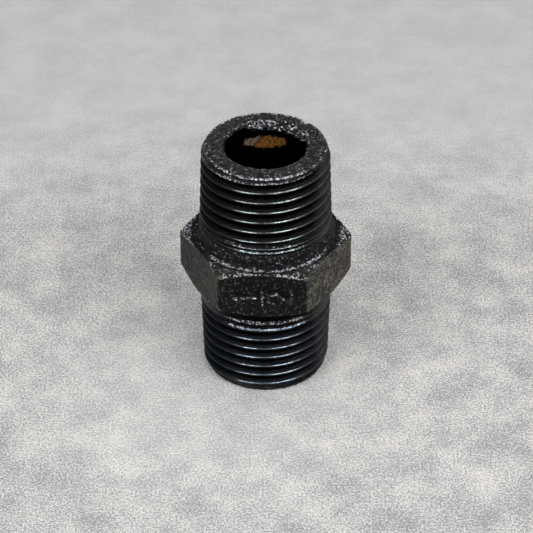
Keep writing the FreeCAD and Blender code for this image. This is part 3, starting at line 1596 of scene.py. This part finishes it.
@dataclass(frozen=True)
class Unevenness:
    """How far, in millimetres, the casting's skin, rims and mouths are pushed in."""

    lump_size: float = 1.6 * MM
    fine_size: float = 0.45 * MM
    cast_lumps: float = 0.06
    cast_fine: float = 0.05
    rim_lumps: float = 0.08
    rim_fine: float = 0.12
    mouth_fine: float = 0.16
    rim_depth: Step = mm_step(1.5, 0.5)
    rim_radius: Step = mm_step(8.0, 9.0)
    mouth_depth: Step = mm_step(1.6, 0.3)
    mouth_radius: Step = mm_step(7.4, 6.8)
    chip_deg: float = 80.0
    chip_width: Step = mm_step(0.9, 0.2)
    chip_height: Step = mm_step(20.0, 40.0)
    chip_depth: float = 0.3

    def depth(self, at: Vector, end_gap: float, cast: float) -> float:
        """Give how far a point is pushed in.

        Args:
            at: The point.
            end_gap: Its distance from the nearer end face.
            cast: How far it lies on the cast skin, from 0 to 1.

        Returns:
            The depth in millimetres.
        """
        radius = reach(at)
        rim = self.rim_depth(end_gap) * self.rim_radius(radius)
        mouth = self.mouth_depth(end_gap) * self.mouth_radius(radius)
        lumps = grain(at, self.lump_size, 3)
        fine = grain(at, self.fine_size, 2)
        depth = cast * (self.cast_lumps * lumps + self.cast_fine * fine)
        edges = rim * (self.rim_fine * fine + self.rim_lumps * lumps)
        depth += edges + mouth * (self.mouth_fine * fine)
        chip = self.chip_width(angle_between(bearing(at), math.radians(self.chip_deg)) * radius)
        return depth + self.chip_depth * rim * chip * self.chip_height(at.z)


@dataclass
class Nipple:
    """The whole casting, joined from its two ends and its hexagon."""

    total_length: float = 41.6 * MM
    lower_length: float = 16.9 * MM
    hex_thickness: float = 8.2 * MM
    lower_start_deg: float = 320.0
    upper_start_deg: float = 276.0
    lower_thread: float = 12.6 * MM
    upper_thread: float = 11.95 * MM
    bore_join: float = 20.0 * MM
    join_gap: float = 0.6 * MM
    sharp_deg: float = 38.0
    mark: SizeMark = field(default_factory=SizeMark)
    drips: Drips = Drips()
    unevenness: Unevenness = Unevenness()
    finish: BlackIron = BlackIron()

    def build(self) -> bpy.types.Object:
        """Model, mark, roughen and dress the casting.

        Returns:
            The finished piece.
        """
        upper_bore = self.total_length - self.bore_join - self.join_gap
        lower = ThreadedEnd(self.lower_start_deg, self.bore_join, self.lower_thread)
        upper = ThreadedEnd(self.upper_start_deg, upper_bore, self.upper_thread)
        upper_cut = self.total_length - upper.cut_length
        hexagon = SpannerHexagon(
            low=self.lower_length,
            high=self.lower_length + self.hex_thickness,
            lower_neck=lower.cut_length + self.join_gap,
            upper_neck=upper_cut - self.join_gap,
        )
        bm = bmesh.new()
        add_mesh(bm, self._placed(lower, upside_down=False))
        add_mesh(bm, self._placed(upper, upside_down=True))
        add_mesh(bm, hexagon.build())
        joins = (
            (lower.cut_length, hexagon.lower_neck),
            (upper_cut, hexagon.upper_neck),
            (self.bore_join, self.total_length - upper_bore),
        )
        for first, second in joins:
            bmesh.ops.bridge_loops(bm, edges=open_ring(bm, first) + open_ring(bm, second))
        self.mark.raise_on(bm)
        bmesh.ops.remove_doubles(bm, verts=bm.verts[:], dist=WELD)
        bmesh.ops.recalc_face_normals(bm, faces=bm.faces[:])
        Painter(self.total_length, hexagon, self.mark, self.drips).paint(bm)
        self._roughen(bm)
        return self._finished(bm)

    def _placed(self, end: ThreadedEnd, upside_down: bool) -> BMesh:
        """Build an end and turn it to its place on the nipple.

        Args:
            end: The end to build.
            upside_down: Whether it is the upper one.

        Returns:
            The end's mesh in the nipple's frame.
        """
        bm = end.build()
        matrix = Matrix.Rotation(math.radians(end.start_deg), 4, "Z")
        if upside_down:
            over = Matrix.Rotation(math.pi, 4, "X")
            matrix = Matrix.Translation((0, 0, self.total_length)) @ over @ matrix
        bmesh.ops.transform(bm, matrix=matrix, verts=bm.verts[:])
        return bm

    def _roughen(self, bm: BMesh) -> None:
        """Push the surface in where the casting and its edges are uneven.

        Args:
            bm: The nipple's mesh.
        """
        bm.normal_update()
        cast = bm.verts.layers.float[Mask.CAST.value]
        moves = []
        for vert in bm.verts:
            end_gap = min(vert.co.z, self.total_length - vert.co.z)
            depth = self.unevenness.depth(vert.co, end_gap, vert[cast])
            moves.append(vert.normal * -depth * MM + self.drips.push(vert.co, self.total_length))
        for vert, move in zip(bm.verts, moves):
            vert.co += move
            vert.co.z = min(max(vert.co.z, 0.0), self.total_length)

    def _finished(self, bm: BMesh) -> bpy.types.Object:
        """Turn the mesh into the piece and dress it.

        Args:
            bm: The finished mesh, which is freed.

        Returns:
            The piece.
        """
        for face in bm.faces:
            face.smooth = True
        for edge in bm.edges:
            edge.smooth = edge.calc_face_angle(0.0) < math.radians(self.sharp_deg)
        loose = sum(not edge.is_manifold for edge in bm.edges)
        triangles = sum(len(face.verts) - 2 for face in bm.faces)
        log.info("nipple: %d triangles, %d open edges", triangles, loose)
        piece = add_object(bm, "nipple", self.finish.material())
        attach(piece, "root")
        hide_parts("nipple_body")
        return piece


@dataclass(frozen=True)
class Floor:
    """The pale mottled floor that the nipple stands on."""

    half_size: float = 1.5
    segments: int = 8
    pale: Colour = (0.70, 0.697, 0.694)
    dark: Colour = (0.635, 0.638, 0.645)
    grain_pale: Colour = (1.0, 0.965, 0.93)
    grain_dark: Colour = (0.20, 0.217, 0.237)
    painted_light: Colour = (0.95, 0.94, 0.925)
    painted_light_place: Place = (-8.0, -10.0, 0.0)
    painted_light_reach: Step = Step(38.0, 8.0)
    painted_light_share: float = 0.26
    cloud_lumps: Lumps = Lumps(9.0, 6.0, 0.72)
    cloud: Step = Step(0.32, 0.68)
    grain_lumps: Lumps = Lumps(0.34, 2.0, 0.9)
    grain: Step = Step(0.38, 0.62)
    blotch: float = 0.4
    behind: Step = Step(85.0, 25.0)
    far_share: float = 0.12
    near_share: float = 0.8
    roughness: float = 0.8

    def build(self) -> bpy.types.Object:
        """Lay the floor.

        Returns:
            The floor's object.
        """
        bm = bmesh.new()
        bmesh.ops.create_grid(
            bm, x_segments=self.segments, y_segments=self.segments, size=self.half_size
        )
        floor = add_object(bm, "floor", self._material())
        return floor

    def _material(self) -> bpy.types.Material:
        """Build the mottled material, with a painted pool of light near the nipple.

        Returns:
            The node material.
        """
        net = Wiring("floor_felt")
        place = net.place_from(CAMERA_TURN_DEG)
        broad = net.lumps(place, self.cloud_lumps)
        fine = net.lumps(place, self.grain_lumps)
        cloud = net.tint(net.rise(broad, self.cloud), self.dark, self.pale)
        blotched = net.rise(net.plus(fine, net.sway(broad, self.blotch)), self.grain)
        speckled = net.tint(blotched, self.grain_dark, self.grain_pale)
        near = net.rise(net.axes(place)[1], self.behind, self.far_share, self.near_share)
        # Painted light: a paler disc in front of and to the left of the nipple lifts its contact
        # shadow.
        away = net.node("ShaderNodeVectorMath")
        away.operation = "DISTANCE"
        net.feed(away.inputs[0], place)
        net.feed(away.inputs[1], self.painted_light_place)
        painted_light = net.rise(away.outputs["Value"], self.painted_light_reach, 0.0, self.painted_light_share)
        colour = net.tint(painted_light, net.tint(near, cloud, speckled), self.painted_light)
        shader = net.node("ShaderNodeBsdfPrincipled")
        net.feed(shader.inputs["Base Color"], colour)
        shader.inputs["Roughness"].default_value = self.roughness
        return net.output(shader)


@dataclass(frozen=True)
class Softbox:
    """A studio lamp that points at the nipple."""

    name: str
    turn_deg: float
    rise_deg: float
    distance: float
    width: float
    height: float
    level: float

    def build(self, towards: Vector) -> bpy.types.Object:
        """Hang the lamp.

        Args:
            towards: The point that it faces.

        Returns:
            The lamp's object.
        """
        away = direction(self.turn_deg, self.rise_deg)
        lamp = bpy.data.lights.new(self.name, "AREA")
        lamp.shape = "RECTANGLE"
        lamp.size = self.width
        lamp.size_y = self.height
        lamp.energy = self.level * (math.pi * self.distance) ** 2
        holder = bpy.data.objects.new(self.name, lamp)
        facing = away.to_track_quat("Z", "Y").to_matrix().to_4x4()
        holder.matrix_world = Matrix.Translation(towards + away * self.distance) @ facing
        bpy.context.scene.collection.objects.link(holder)
        return holder


@dataclass(frozen=True)
class Studio:
    """The lamps, the surroundings and the camera."""

    camera_turn_deg: float = CAMERA_TURN_DEG
    camera_rise_deg: float = 35.6893
    camera_distance: float = 429.1144 * MM
    camera_roll_deg: float = -0.0733
    focal_px: float = 2638.6632
    frame_px: float = 533.0
    sensor_width: float = 36.0
    nearest: float = 0.01
    aim_height: float = 18.0394 * MM
    aim_side: float = 0.1338 * MM
    surroundings: float = 0.06
    lamps: tuple[Softbox, ...] = (
        Softbox("left_box", CAMERA_TURN_DEG - 43, 42, 0.7, 0.42, 0.26, 0.38),
        Softbox("right_box", CAMERA_TURN_DEG + 37, 42, 0.7, 0.52, 0.26, 0.52),
        Softbox("side_box", CAMERA_TURN_DEG + 95, 30, 1.0, 0.80, 0.60, 0.06),
        Softbox("top_box", CAMERA_TURN_DEG, 90, 1.8, 2.4, 2.4, 0.47),
    )

    def build(self) -> None:
        """Set the lamps, the surroundings and the camera."""
        for lamp in self.lamps:
            lamp.build(Vector((0, 0, self.aim_height)))
        self._surround()
        self._camera()
        bpy.context.scene.view_settings.view_transform = "Standard"

    def _surround(self) -> None:
        """Make the dim room round the nipple."""
        world = bpy.data.worlds.new("room")
        world.use_nodes = True
        background = world.node_tree.nodes["Background"]
        background.inputs["Color"].default_value = (*(self.surroundings,) * 3, 1)
        background.inputs["Strength"].default_value = 1.0
        bpy.context.scene.world = world

    def _camera(self) -> None:
        """Put the camera where the photo was taken from."""
        turn = math.radians(self.camera_turn_deg)
        back = direction(self.camera_turn_deg, self.camera_rise_deg)
        level_right = Vector((-math.sin(turn), math.cos(turn), 0))
        level_up = back.cross(level_right)
        roll = math.radians(self.camera_roll_deg)
        right = level_right * math.cos(roll) + level_up * math.sin(roll)
        up = back.cross(right)
        aim = level_right * self.aim_side + Vector((0, 0, self.aim_height))
        lens = bpy.data.cameras.new("camera")
        lens.sensor_width = self.sensor_width
        lens.lens = self.focal_px * lens.sensor_width / self.frame_px
        lens.clip_start = self.nearest
        holder = bpy.data.objects.new("camera", lens)
        facing = Matrix((right, up, back)).transposed().to_4x4()
        holder.matrix_world = Matrix.Translation(aim + back * self.camera_distance) @ facing
        bpy.context.scene.collection.objects.link(holder)
        bpy.context.scene.camera = holder


def main() -> None:
    """Build the nipple, its floor and the studio."""
    logging.basicConfig(level=logging.INFO, format="%(name)s %(message)s")
    log.info("built %s", Nipple().build().name)
    log.info("laid %s", Floor().build().name)
    Studio().build()
    log.info("set the studio")


if __name__ == "__main__":
    main()
